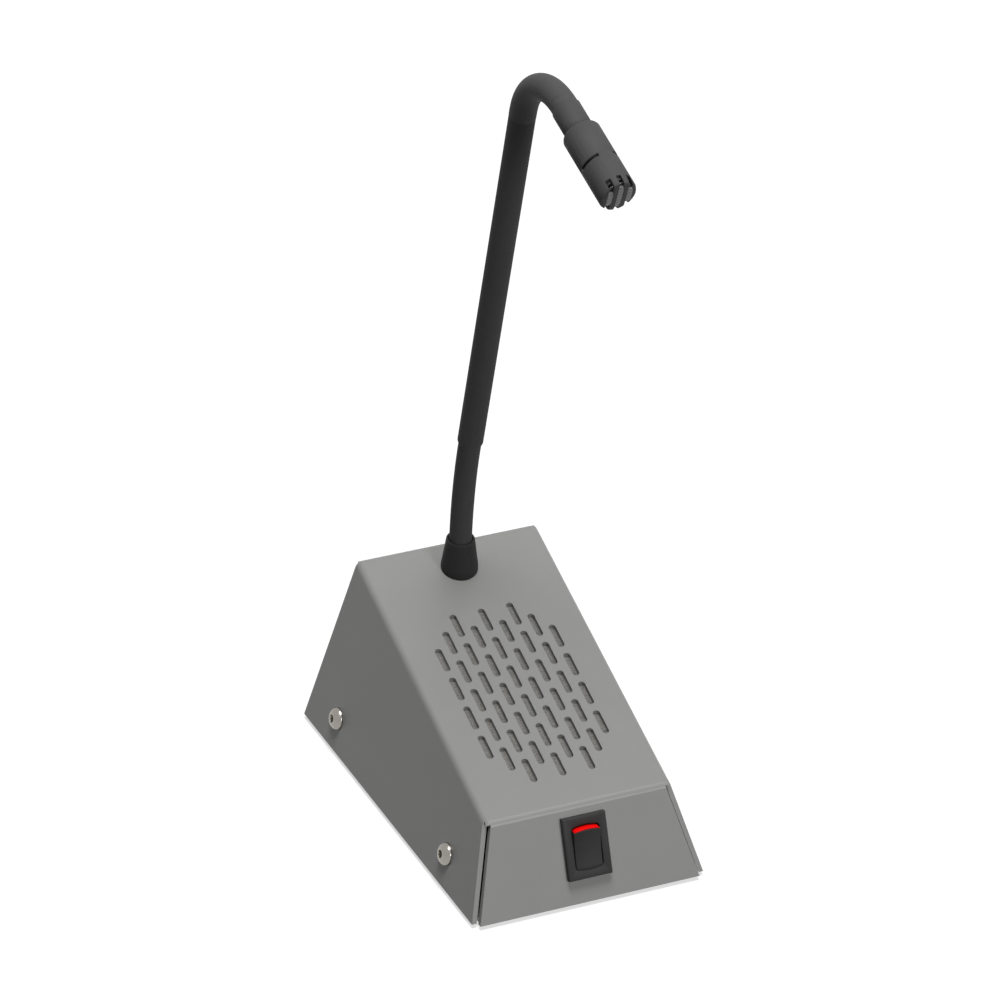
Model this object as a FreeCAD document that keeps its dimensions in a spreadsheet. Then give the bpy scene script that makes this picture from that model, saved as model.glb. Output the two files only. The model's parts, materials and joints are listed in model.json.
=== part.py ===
import FreeCAD, Part
import Sketcher
import math
import os
import re

# Teller window intercom: a folded sheet-metal desk housing with a loudspeaker under its slotted top,
# a rocker switch in its front flap and a microphone on a gooseneck.
# Frame: millimetres, +Z up, the front with the switch faces -Y, the origin is the middle of the
# footprint on the surface that the feet stand on.

SIZES = [
    # Housing, outer sheet planes before the folds are rounded
    ("base_depth", "133.4", "front to rear edge of the housing at table level"),
    ("front_setback", "11.3", "how far the front fold lies behind the front edge"),
    ("rear_setback", "6.4", "how far the rear fold lies in front of the rear edge"),
    ("front_height", "31.4", "front fold above the table"),
    ("rear_height", "60.6", "rear fold above the table"),
    ("top_width", "62.0", "width of the sloping top across its two side folds"),
    ("side_flare", "16.4", "degrees that each side flap opens from square to the top"),
    ("sheet", "1.5", "sheet metal thickness"),
    ("bend", "2.5", "outer radius of the folds"),
    ("corner_gap", "0.35", "gap between a side flap and the front or rear flap"),
    ("corner_roof", "0.5", "metal left above an open corner"),
    ("stand_gap", "1.5", "housing edge above the table"),
    # Loudspeaker slots in the top
    ("field_front", "12.35", "front fold to the slot field, up the slope"),
    ("field_rear", "19.35", "slot field to the gooseneck's foot, up the slope"),
    ("slot_web", "2.9", "metal between two slots of a column"),
    ("slot_width", "2.3", "width of a slot"),
    ("field_side", "10.37", "side fold to the slot field"),
    # Side screws and the tray they hold
    ("screw_front", "27.5", "front pair of side screws behind the front edge"),
    ("screw_rear", "22.7", "rear pair of side screws in front of the rear edge"),
    ("screw_rise", "11.5", "side screws above the table"),
    ("screw_thread", "4.0", "thread diameter of a side screw"),
    ("screw_reach", "7.5", "length of a side screw under its head"),
    ("screw_head", "7.6", "head diameter of a side screw"),
    ("screw_crown", "2.2", "head height of a side screw"),
    ("screw_hole", "4.4", "hole for a side screw"),
    ("thread_gap", "0.05", "radial gap between a thread and what it runs in"),
    ("tray_gap", "0.4", "gap between the tray and the inside of the housing"),
    ("flange_rise", "18.0", "height of the tray's side flanges"),
    ("flange_margin", "11.0", "flange beyond the screws"),
    ("nut_round", "7.0", "diameter of a clinch nut"),
    ("nut_tall", "2.5", "height of a clinch nut"),
    ("nut_neck", "5.2", "neck of a clinch nut in the flange"),
    ("foot_round", "10.0", "diameter of a foot"),
    ("foot_inset", "15.0", "feet from the front and rear edges"),
    ("foot_spread", "28.0", "feet from the middle plane"),
    # Rocker switch
    ("switch_drop", "13.55", "switch centre down the front flap from the fold"),
    ("switch_shift", "0.5", "switch centre to the right of the middle plane"),
    ("bezel_lip", "0.95", "bezel past the switch body on each side"),
    ("bezel_proud", "2.0", "bezel thickness on the flap"),
    ("bezel_bevel", "0.3", "bevel round the bezel"),
    ("switch_wide", "12.6", "width of the switch body"),
    ("switch_tall", "18.3", "height of the switch body"),
    ("switch_deep", "13.0", "depth of the switch body behind the flap's face"),
    ("panel_fit", "0.15", "gap around the switch body in its cut-out"),
    ("rocker_wide", "8.7", "rocker width"),
    ("rocker_tall", "12.7", "rocker height at its sides"),
    ("rocker_bulge", "0.6", "bow of the rocker's curved ends"),
    ("rocker_corner", "0.9", "rounding of the rocker's corners"),
    ("rocker_gap", "0.4", "side gap of the rocker"),
    ("rocker_end_gap", "0.5", "end gap of the rocker"),
    ("rocker_tilt", "9.0", "degrees that the rocker leans at rest"),
    ("rocker_crest", "2.0", "rocker face above its pivot, in the middle"),
    ("rocker_dish", "0.7", "hollow of the rocker's face between its ends"),
    ("rocker_keel", "4.6", "rocker below its pivot"),
    ("pivot_rise", "0.3", "rocker pivot in front of the flap's face"),
    ("pivot_pin", "2.0", "diameter of the rocker's trunnions"),
    ("pivot_gap", "0.05", "radial running gap of the trunnions"),
    ("trunnion_end", "0.4", "wall outside a trunnion's bore"),
    ("marker_tall", "3.2", "height of the red marker down the rocker's end"),
    ("marker_skin", "0.35", "thickness of the red marker on the rocker's end"),
    ("tab_wide", "4.8", "width of a switch terminal"),
    ("tab_thick", "0.8", "thickness of a switch terminal"),
    ("tab_long", "7.5", "length of a switch terminal"),
    ("tab_spread", "4.2", "switch terminals from the middle"),
    # Gooseneck foot
    ("neck_inset", "13.1", "gooseneck foot, down the slope from the rear fold"),
    ("neck_shift", "0.12", "gooseneck foot to the right of the middle plane"),
    ("neck_tilt", "4.71", "degrees that the foot leans forward from upright"),
    ("neck_turn", "5.44", "degrees that the neck leans to the right of straight ahead"),
    ("boot_wall", "2.05", "wall of the boot round the spigot's thread"),
    ("boot_rim", "1.03", "wall of the boot's top round the gooseneck"),
    ("boot_tall", "11.7", "height of the boot"),
    ("boot_band", "1.4", "straight band at the bottom of the boot"),
    ("boot_lip", "0.3", "rounding of the boot's top edge"),
    ("boot_mouth", "0.3", "gap round the gooseneck in the boot's mouth"),
    ("mouth_deep", "1.5", "depth of the boot's mouth"),
    ("shank", "8.0", "thread diameter of the spigot"),
    ("shank_below", "10.5", "spigot below the top face of the sheet"),
    ("flange_lip", "0.6", "spigot's flange past its thread"),
    ("flange_seat", "4.0", "underside of the spigot's flange above the sheet"),
    ("flange_thick", "1.2", "thickness of the spigot's flange"),
    ("washer_round", "15.0", "diameter of the taper washer"),
    ("washer_low", "4.4", "flat underside of the taper washer below the sheet's top face"),
    ("locknut_flats", "13.0", "width across the flats of the lock nut"),
    ("locknut_tall", "4.0", "height of the lock nut"),
    # Gooseneck
    ("neck_thin", "7.3", "diameter of the lower flexible section"),
    ("neck_thick", "8.28", "diameter of the stem and the upper flexible section"),
    ("lead_bore", "2.0", "bore for the microphone lead"),
    ("ball_fit", "0.06", "radial running gap of a ball in its socket"),
    ("rim", "0.5", "socket rim past the centre of the ball"),
    ("rim_bevel", "0.5", "bevel of a socket rim"),
    ("thin_wall", "1.15", "wall outside a ball in the lower section"),
    ("thin_shoulder", "1.6", "shoulder below a ball's centre in the lower section"),
    ("thin_pitch", "8.0", "joint spacing of the lower section"),
    ("thin_curve", "2.08", "degrees of bend at each lower joint"),
    ("thin_start", "3.4", "first joint above the boot"),
    ("thick_wall", "1.34", "wall outside a ball in the upper section"),
    ("thick_shoulder", "1.95", "shoulder below a ball's centre in the upper section"),
    ("thick_pitch", "4.9", "joint spacing of the upper section"),
    ("thick_curve", "13.77", "degrees of bend at each upper joint"),
    ("ferrule_out", "5.6", "lower ferrule from its joint to the stem"),
    ("stem_long", "136.9", "length of the stem"),
    ("stem_wall", "0.95", "wall of the stem"),
    ("stem_bevel", "0.4", "bevel of the stem's ends"),
    ("plug_fit", "0.05", "radial gap of a ferrule in the stem"),
    ("plug_long", "8.0", "length of a ferrule in the stem"),
    ("upper_out", "4.1", "upper ferrule from the stem to its joint"),
    # Microphone head
    ("collar_start", "2.6", "where the collar widens, from the last joint"),
    ("collar_slope", "0.6", "length of the collar's sloping start"),
    ("collar_round", "9.0", "diameter of the collar"),
    ("collar_long", "10.2", "length of the collar"),
    ("head_round", "11.87", "diameter of the microphone head"),
    ("head_wall", "0.9", "wall of the microphone head"),
    ("rear_long", "12.9", "length of the rear half of the head"),
    ("rear_edge", "1.0", "rounding of the head's rear edge"),
    ("cap_long", "13.2", "length of the front half of the head"),
    ("cap_edge", "1.2", "rounding of the head's front edge"),
    ("cap_front", "1.0", "thickness of the head's front wall"),
    ("tongue_long", "2.6", "length of the rear half's tongue inside the front half"),
    ("tongue_thick", "0.8", "thickness of the tongue"),
    ("collar_plug", "3.0", "length of the collar's plug inside the rear half"),
    ("collar_step", "0.6", "collar's plug below its outside"),
    ("vent_tall", "1.1", "height of the vents round the head"),
    ("vent_arc", "72.0", "degrees that a vent runs round the head"),
    ("vent_phase", "107.0", "degrees from the head's right side to its first vent"),
    ("grille_slot", "1.5", "width of a slot in the head's front"),
    ("grille_pitch", "3.2", "spacing of the slots in the head's front"),
    ("grille_deep", "3.4", "depth of the slots from the head's front"),
    ("gauze", "0.3", "thickness of the gauze disc"),
    ("capsule_round", "6.0", "diameter of the microphone capsule"),
    ("capsule_long", "5.0", "length of the microphone capsule"),
    # Loudspeaker under the top
    ("cloth_side", "2.1", "acoustic cloth beside its outer studs"),
    ("cloth_end", "4.75", "acoustic cloth past the ends of the slot field"),
    ("cloth_thick", "0.4", "thickness of the acoustic cloth"),
    ("speaker_side", "6.0", "side fold to the loudspeaker's rim"),
    ("gasket_wide", "3.2", "width of the gasket"),
    ("gasket_thick", "1.2", "thickness of the gasket"),
    ("basket_deep", "12.0", "depth of the loudspeaker's basket"),
    ("basket_sheet", "0.8", "sheet thickness of the basket"),
    ("basket_floor", "29.0", "diameter of the basket's floor"),
    ("surround_wide", "3.0", "width of the cone's roll surround"),
    ("surround_skin", "0.3", "thickness of the roll surround"),
    ("surround_rise", "0.7", "height of the roll"),
    ("cone_paper", "0.4", "thickness of the cone"),
    ("cone_deep", "8.0", "depth of the cone"),
    ("coil_round", "13.0", "diameter of the voice coil"),
    ("coil_wall", "0.3", "wall of the voice coil"),
    ("coil_long", "8.4", "length of the voice coil"),
    ("coil_gap", "0.3", "air gap on each side of the voice coil"),
    ("pole_plate", "2.5", "thickness of the front pole plate"),
    ("magnet_round", "32.0", "diameter of the magnet"),
    ("magnet_bore", "17.0", "bore of the magnet"),
    ("magnet_tall", "6.0", "height of the magnet"),
    ("yoke_thick", "2.5", "thickness of the yoke's disc"),
    ("stud_round", "3.0", "diameter of a weld stud"),
    ("stud_spare", "0.6", "weld stud past its nut"),
    ("stud_gap", "1.7", "gap between a weld stud and the loudspeaker"),
    ("stud_angle", "30.0", "degrees from straight across to the weld studs"),
    ("clamp_bite", "1.3", "clamp washer under the loudspeaker's rim"),
    ("clamp_thick", "0.8", "thickness of a clamp washer"),
    ("stud_nut", "5.5", "width across the flats of a stud nut"),
    ("stud_nut_tall", "2.4", "height of a stud nut"),
    # Amplifier board
    ("board_wide", "54.0", "width of the circuit board"),
    ("board_long", "68.0", "length of the circuit board"),
    ("board_thick", "1.6", "thickness of the circuit board"),
    ("board_place", "20.0", "middle of the circuit board behind the origin"),
    ("post_tall", "4.0", "height of a stand-off"),
    ("post_round", "5.5", "diameter of a stand-off"),
    ("post_inset", "4.0", "stand-offs from the board's edges"),
    ("post_thread", "3.0", "thread in a stand-off"),
    ("post_screw_head", "5.5", "head diameter of a board screw"),
    ("terminal_pitch", "5.0", "spacing of a terminal block's wire holes"),
    ("terminal_deep", "8.0", "depth of a terminal block"),
    ("terminal_tall", "9.0", "height of a terminal block"),
    ("trimmer_wide", "6.5", "width of a volume trimmer"),
    ("trimmer_tall", "5.0", "height of a volume trimmer"),
    # Cable inlet in the rear flap
    ("inlet_rise", "20.0", "cable inlet above the table"),
    ("inlet_shift", "0.0", "cable inlet to the right of the middle plane"),
    ("inlet_bore", "6.2", "bore of the cable grommet"),
    ("inlet_wall", "1.9", "wall of the cable grommet's neck"),
    ("inlet_brim", "1.5", "grommet's flanges past its neck"),
    ("inlet_lip", "1.2", "thickness of the grommet's flanges"),
]

SLOT_COUNTS = [6, 5, 6, 5, 4]
LOWER_JOINTS = 5
UPPER_JOINTS = 7
SCREW_PLACES = ("screw_front", "(base_depth - screw_rear)")

FRONT_LEAN = "(atan(front_setback / front_height) / 1 deg)"
REAR_LEAN = "(atan(rear_setback / rear_height) / 1 deg)"
TOP_RUN = "(base_depth - front_setback - rear_setback)"
SLOPE = f"(atan((rear_height - front_height) / {TOP_RUN}) / 1 deg)"
TOP_LENGTH = f"(sqrt({TOP_RUN}^2 + (rear_height - front_height)^2))"
NECK_PLACE = f"({TOP_LENGTH} - neck_inset)"

# The slots, in nine columns with six places at the most, and the loudspeaker under them
FIELD = f"({NECK_PLACE} - field_front - field_rear)"
SLOT_LENGTH = f"(({FIELD} - 5 * slot_web) / 6)"
SLOT_PITCH = f"({SLOT_LENGTH} + slot_web)"
SLOT_MIDDLE = f"(field_front + {FIELD} / 2)"
SLOT_COLUMN = "((top_width - 2 * field_side - slot_width) / 8)"
SPEAKER = "(top_width - 2 * speaker_side)"

# The housing's lower edges, on its flaps' lean, lie as far in front of the origin as behind it.
EDGE_SHIFT = "(stand_gap * (front_setback / front_height - rear_setback / rear_height) / 2)"
FRONT_EDGE = f"(0 - base_depth / 2 - {EDGE_SHIFT})"

doc = FreeCAD.newDocument("teller_intercom")
sheet = doc.addObject("Spreadsheet::Sheet", "Sizes")
for row, (alias, text, meaning) in enumerate(SIZES, start=1):
    sheet.set(f"A{row}", alias)
    sheet.set(f"B{row}", text)
    sheet.set(f"C{row}", meaning)
    sheet.setAlias(f"B{row}", alias)
doc.recompute()

ALIASES = {alias for alias, text, meaning in SIZES}
parts = []


# Expressions and frames

def bind(formula):
    """Write a formula's size names as references to the spreadsheet."""
    def cell(word):
        return f"Sizes.{word[0]}" if word[0] in ALIASES else word[0]
    return re.sub(r"[a-z][a-z_]*", cell, formula)


def measure(formula):
    """Return the present value of a formula in millimetres or degrees."""
    value = sheet.evalExpression(bind(formula))
    return float(getattr(value, "Value", value))


def vector(across, along, up):
    return FreeCAD.Vector(measure(across), measure(along), measure(up))


def shift(across="0", along="0", up="0"):
    return FreeCAD.Placement(vector(across, along, up), FreeCAD.Rotation())


def turn(axis, formula):
    return FreeCAD.Placement(FreeCAD.Vector(), FreeCAD.Rotation(FreeCAD.Vector(*axis), measure(formula)))


ALONG_X = (1, 0, 0)
ALONG_Y = (0, 1, 0)
ALONG_Z = (0, 0, 1)


def top_frame():
    """On the front fold: x across, y up the slope, z out of the top."""
    return shift("0", f"{FRONT_EDGE} + front_setback", "front_height") * turn(ALONG_X, SLOPE)


def side_frame(side):
    """On a side fold of the top: x along the fold, z out of the side flap."""
    corner = top_frame() * shift(f"{side} * top_width / 2")
    return corner * turn(ALONG_Y, f"{side} * (90 - side_flare)")


def front_frame():
    """On the front flap at the switch: y up the flap, z out of the flap."""
    fold = shift("switch_shift", f"{FRONT_EDGE} + front_setback", "front_height")
    return fold * turn(ALONG_X, f"90 - {FRONT_LEAN}") * shift("0", "0 - switch_drop")


def rear_frame():
    """On the rear flap at the cable inlet: z out of the flap."""
    inset = "rear_setback * inlet_rise / rear_height"
    spot = shift("inlet_shift", f"{FRONT_EDGE} + base_depth - {inset}", "inlet_rise")
    return spot * turn(ALONG_X, f"{REAR_LEAN} - 90")


def foot_frame():
    """Where the gooseneck's axis meets the top face: z up the axis."""
    spot = top_frame() * shift("neck_shift", NECK_PLACE)
    ahead = FreeCAD.Placement(spot.Base, FreeCAD.Rotation()) * turn(ALONG_Z, "neck_turn")
    return ahead * turn(ALONG_X, "neck_tilt")


def speaker_frame():
    """On the inside of the top at the middle of the slots: z out of the top."""
    return top_frame() * shift("0", SLOT_MIDDLE, "0 - sheet")


def side_spot(side, behind_front, rise):
    """Point on a side flap's outer face at a distance behind the front edge and a height."""
    forward = f"({behind_front} - front_setback)"
    below = f"(sin({SLOPE}) * {forward} + cos({SLOPE}) * (front_height - {rise}))"
    half = f"{side} * (top_width / 2 + tan(side_flare) * {below})"
    place = shift(half, f"{FRONT_EDGE} + {behind_front}", rise)
    return FreeCAD.Placement(place.Base, side_frame(side).Rotation)


# Shapes

def keep(item, label):
    """Name a finished sub-part."""
    item.Label = label
    parts.append(item)
    return item


def origin_plane(body, role):
    return next(feature for feature in body.Origin.OriginFeatures if feature.Role == role)


def start_body(name, frame):
    body = doc.addObject("PartDesign::Body", name)
    body.Placement = frame
    return body


def start_sketch(body, role, lift="0"):
    sketch = body.newObject("Sketcher::SketchObject", body.Name + "_sketch")
    sketch.AttachmentSupport = [(origin_plane(body, role), "")]
    sketch.MapMode = "FlatFace"
    sketch.AttachmentOffset = shift("0", "0", lift)
    return sketch


def fix(sketch, kind, geometry, point, formula):
    """Hold one coordinate of a sketch point at a formula."""
    number = sketch.addConstraint(Sketcher.Constraint(kind, geometry, point, measure(formula)))
    sketch.setExpression(f"Constraints[{number}]", bind(formula))


def outline(sketch, corners):
    """Closed outline through corners (across, up); a third entry makes the next edge an arc
    round that height on the vertical axis."""
    spots = [FreeCAD.Vector(measure(corner[0]), measure(corner[1]), 0) for corner in corners]
    first = sketch.GeometryCount
    joints = []
    for index, corner in enumerate(corners):
        begin = spots[index]
        end = spots[(index + 1) % len(spots)]
        if len(corner) == 2:
            sketch.addGeometry(Part.LineSegment(begin, end))
            joints.append((1, 2))
            continue
        centre = FreeCAD.Vector(0, measure(corner[2]), 0)
        angles = [math.atan2(spot.y - centre.y, spot.x - centre.x) for spot in (begin, end)]
        circle = Part.Circle(centre, FreeCAD.Vector(0, 0, 1), begin.distanceToPoint(centre))
        sketch.addGeometry(Part.ArcOfCircle(circle, min(angles), max(angles)))
        joints.append((1, 2) if angles[0] < angles[1] else (2, 1))
        fix(sketch, "DistanceY", first + index, 3, corner[2])
    for index, corner in enumerate(corners):
        after = (index + 1) % len(corners)
        link = ("Coincident", first + index, joints[index][1], first + after, joints[after][0])
        sketch.addConstraint(Sketcher.Constraint(*link))
        fix(sketch, "DistanceX", first + index, joints[index][0], corner[0])
        fix(sketch, "DistanceY", first + index, joints[index][0], corner[1])


def rectangle(sketch, left, right, low, high):
    outline(sketch, [(left, low), (right, low), (right, high), (left, high)])


def disc(sketch, formula, across="0", up="0"):
    """Circle by its diameter."""
    centre = FreeCAD.Vector(measure(across), measure(up), 0)
    circle = Part.Circle(centre, FreeCAD.Vector(0, 0, 1), measure(formula) / 2)
    index = sketch.addGeometry(circle)
    fix(sketch, "DistanceX", index, 3, across)
    fix(sketch, "DistanceY", index, 3, up)
    number = sketch.addConstraint(Sketcher.Constraint("Diameter", index, measure(formula)))
    sketch.setExpression(f"Constraints[{number}]", bind(formula))


def slot_outline(sketch, across, up):
    """Upright slot with round ends."""
    reach = f"({SLOT_LENGTH} - slot_width) / 2"
    radius = measure("slot_width / 2")
    low = vector(across, f"{up} - {reach}", "0")
    high = vector(across, f"{up} + {reach}", "0")
    edge = FreeCAD.Vector(radius, 0, 0)
    normal = FreeCAD.Vector(0, 0, 1)
    roof = sketch.addGeometry(Part.ArcOfCircle(Part.Circle(high, normal, radius), 0, math.pi))
    left = sketch.addGeometry(Part.LineSegment(high - edge, low - edge))
    floor = sketch.addGeometry(Part.ArcOfCircle(Part.Circle(low, normal, radius), math.pi, 2 * math.pi))
    right = sketch.addGeometry(Part.LineSegment(low + edge, high + edge))
    for before, after in ((roof, left), (left, floor), (floor, right), (right, roof)):
        sketch.addConstraint(Sketcher.Constraint("Tangent", before, 2, after, 1))
    sketch.addConstraint(Sketcher.Constraint("Equal", roof, floor))
    number = sketch.addConstraint(Sketcher.Constraint("Radius", roof, radius))
    sketch.setExpression(f"Constraints[{number}]", bind("slot_width / 2"))
    for arc, place in ((roof, f"{up} + {reach}"), (floor, f"{up} - {reach}")):
        fix(sketch, "DistanceX", arc, 3, across)
        fix(sketch, "DistanceY", arc, 3, place)


def feature(body, kind, sketch, length=None, both_ways=False, reverse=False):
    """Pad or Pocket of a sketch; without a length it goes right through."""
    item = body.newObject(f"PartDesign::{kind}", f"{body.Name}_{kind}")
    item.Profile = sketch
    item.Midplane = both_ways
    item.Reversed = reverse
    if length is None:
        item.Type = "ThroughAll"
    else:
        item.setExpression("Length", bind(length))
    return item


def turned(name, frame, corners):
    """Body of revolution from an outline (radius, height)."""
    body = start_body(name, frame)
    sketch = start_sketch(body, "XZ_Plane")
    outline(sketch, corners)
    spin = body.newObject("PartDesign::Revolution", name + "_spin")
    spin.Profile = sketch
    spin.ReferenceAxis = (sketch, ["V_Axis"])
    spin.Angle = 360
    return body


def plate(name, frame, corners, length, role="XY_Plane", both_ways=False):
    """Prism of an outline."""
    body = start_body(name, frame)
    sketch = start_sketch(body, role)
    outline(sketch, corners)
    feature(body, "Pad", sketch, length, both_ways)
    return body


def block(name, frame, lengths, corner=None):
    """Box by its three lengths, centred across and along unless its low corner is given."""
    corner = corner or (f"0 - ({lengths[0]}) / 2", f"0 - ({lengths[1]}) / 2", "0")
    box = doc.addObject("Part::Box", name)
    for side, length in zip(("Length", "Width", "Height"), lengths):
        box.setExpression(side, bind(length))
    box.Placement = frame * shift(*corner)
    return box


def rod(name, frame, diameter, length, low="0"):
    """Cylinder along the frame's z axis."""
    cylinder = doc.addObject("Part::Cylinder", name)
    cylinder.setExpression("Radius", bind(f"({diameter}) / 2"))
    cylinder.setExpression("Height", bind(length))
    cylinder.Placement = frame * shift("0", "0", low)
    return cylinder


def tube(name, frame, diameter, bore, length, low="0"):
    outer, inner = f"({diameter}) / 2", f"({bore}) / 2"
    roof = f"({low}) + ({length})"
    return turned(name, frame, [(inner, low), (outer, low), (outer, roof), (inner, roof)])


def hexagon(name, frame, flats, bore, length, low="0"):
    """Nut by its width across the flats."""
    body = start_body(name, frame)
    sketch = start_sketch(body, "XY_Plane", low)
    corner = f"({flats}) / 2 / cos(30)"
    outline(sketch, [(f"{corner} * cos({60 * k})", f"{corner} * sin({60 * k})") for k in range(6)])
    disc(sketch, bore)
    feature(body, "Pad", sketch, length)
    return body


def joined(name, items):
    fuse = doc.addObject("Part::MultiFuse", name)
    fuse.Shapes = items
    return fuse


def cut(name, item, tools):
    """Item without the tools."""
    result = doc.addObject("Part::Cut", name)
    result.Base = item
    result.Tool = tools[0] if len(tools) == 1 else joined(name + "_tools", tools)
    return result


def common(name, item, other):
    result = doc.addObject("Part::Common", name)
    result.Base = item
    result.Tool = other
    return result


def group(label, master, frames):
    """One node of equal loose solids: the master's shape, made in the origin's frame, at each frame."""
    doc.recompute()
    copies = []
    for frame in frames:
        copy = master.Shape.copy()
        copy.Placement = frame * copy.Placement
        copies.append(copy)
    item = doc.addObject("Part::Feature", label)
    item.Shape = Part.makeCompound(copies)
    return keep(item, label)


def edges_where(shape, test):
    return [f"Edge{i}" for i, edge in enumerate(shape.Edges, start=1) if test(edge)]


def round_edges(body, names, radius, kind="Fillet"):
    """Fillet or chamfer named edges of a body's present tip."""
    solid = body.Tip
    item = body.newObject(f"PartDesign::{kind}", f"{body.Name}_{kind}")
    item.Base = (solid, names)
    item.setExpression("Radius" if kind == "Fillet" else "Size", bind(radius))
    return item


# Housing

def cover_blank():
    """Hollow wedge with rounded folds, open at the bottom, in the frame of its top."""
    body = start_body("cover_blank", top_frame())
    reach = "(rear_height + rear_setback)"
    wide = f"(top_width / 2 + {reach} * tan(side_flare))"
    section = start_sketch(body, "XZ_Plane")
    outline(section, [(f"0 - {wide}", f"0 - {reach}"), (wide, f"0 - {reach}"),
                      ("top_width / 2", "0"), ("0 - top_width / 2", "0")])
    feature(body, "Pad", section, "2 * base_depth", both_ways=True)

    def side_view(behind, above):
        """World place (behind the front fold, above the table) in the frame of the top."""
        drop = f"({above} - front_height)"
        along = f"({behind}) * cos({SLOPE}) + {drop} * sin({SLOPE})"
        out = f"{drop} * cos({SLOPE}) - ({behind}) * sin({SLOPE})"
        return along, out

    front_foot = side_view("stand_gap / front_height * front_setback - front_setback", "stand_gap")
    rear_foot = side_view("base_depth - front_setback - rear_setback * stand_gap / rear_height", "stand_gap")
    rear_fold = side_view("base_depth - front_setback - rear_setback", "rear_height")
    trim = start_sketch(body, "YZ_Plane")
    far = "(2 * base_depth)"
    rectangle(trim, f"0 - {far}", far, f"0 - {far}", far)
    outline(trim, [("0", "0"), front_foot, rear_foot, rear_fold])
    feature(body, "Pocket", trim, both_ways=True)
    doc.recompute()

    top_edges = edges_where(body.Shape.copy(), is_top_edge)
    round_edges(body, top_edges, "bend")
    doc.recompute()
    floor = lowest_face(body)
    solid = body.Tip
    shell = body.newObject("PartDesign::Thickness", "cover_shell")
    shell.Base = (solid, [floor])
    shell.setExpression("Value", bind("sheet"))
    shell.Reversed = True
    doc.recompute()
    return body


def is_top_edge(edge):
    """True for the four edges round the sloping top."""
    frame = top_frame().inverse()
    return all(abs(frame.multVec(vertex.Point).z) < 1e-4 for vertex in edge.Vertexes)


def lowest_face(body):
    faces = body.Shape.Faces
    return f"Face{1 + min(range(len(faces)), key=lambda i: faces[i].CenterOfMass.z)}"


def corner_tool():
    """Cutter for the four open corners: what lies close to the outside of two flaps at once."""
    frame = top_frame()
    reach = "(rear_height + rear_setback)"
    far = "(2 * base_depth)"
    margin = "(sheet + corner_gap)"
    wedges = []
    for side in ("1", "-1"):
        edge = f"(top_width / 2 - {margin} / cos(side_flare))"
        wedges.append(plate("corner_side", frame, [
            (f"{side} * ({edge} + corner_roof * tan(side_flare))", "0 - corner_roof"),
            (f"{side} * ({edge} + {reach} * tan(side_flare))", f"0 - {reach}"),
            (f"{side} * {far}", f"0 - {reach}"), (f"{side} * {far}", "0 - corner_roof")],
            f"2 * {far}", "XZ_Plane", both_ways=True))
    slabs = []
    for start, sign, lean in (("0", "1", f"({FRONT_LEAN} + {SLOPE})"),
                              (TOP_LENGTH, "-1", f"({REAR_LEAN} - {SLOPE})")):
        edge = f"({margin} / cos({lean}))"
        slabs.append(plate("corner_end", frame, [
            (f"{start} + {sign} * {edge}", "0"),
            (f"{start} + {sign} * ({edge} - {reach} * tan({lean}))", f"0 - {reach}"),
            (f"{start} - {sign} * {far}", f"0 - {reach}"), (f"{start} - {sign} * {far}", "0")],
            f"2 * {far}", "YZ_Plane", both_ways=True))
    return common("corner_tool", joined("corner_sides", wedges), joined("corner_ends", slabs))


def cut_slots(body):
    """Columns of slots in the top, each column a patterned pocket, mirrored about the middle."""
    for column, count in enumerate(SLOT_COUNTS):
        sketch = start_sketch(body, "XY_Plane")
        first = f"({SLOT_MIDDLE} - {(count - 1) / 2} * {SLOT_PITCH})"
        for side in ([0] if column == 0 else [-1, 1]):
            slot_outline(sketch, f"{side * column} * {SLOT_COLUMN}", first)
        pocket = feature(body, "Pocket", sketch, "3 * sheet", both_ways=True)
        doc.recompute()
        pattern = body.newObject("PartDesign::LinearPattern", "cover_slots")
        pattern.Originals = [pocket]
        pattern.Direction = (sketch, ["V_Axis"])
        pattern.setExpression("Length", bind(f"{count - 1} * {SLOT_PITCH}"))
        pattern.Occurrences = count
        body.Tip = pattern
        doc.recompute()


def make_cover():
    body = cover_blank()
    cut_slots(body)
    reach = "6 * sheet"
    tools = [corner_tool()]
    tools.append(block("switch_opening", front_frame() * shift("0", "0", "0 - 3 * sheet"),
                       ("switch_wide + 2 * panel_fit", "switch_tall + 2 * panel_fit", reach)))
    for side in (1, -1):
        for place in SCREW_PLACES:
            spot = side_spot(side, place, "screw_rise")
            tools.append(rod("screw_opening", spot, "screw_hole", reach, "0 - 3 * sheet"))
    tools.append(rod("neck_opening", foot_frame(), "shank + 2 * panel_fit", reach, "0 - 3 * sheet"))
    tools.append(rod("inlet_opening", rear_frame(), "inlet_bore + 2 * inlet_wall + 2 * thread_gap", reach,
                     "0 - 3 * sheet"))
    keep(cut("cover_cut", body, tools), "cover")


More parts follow.
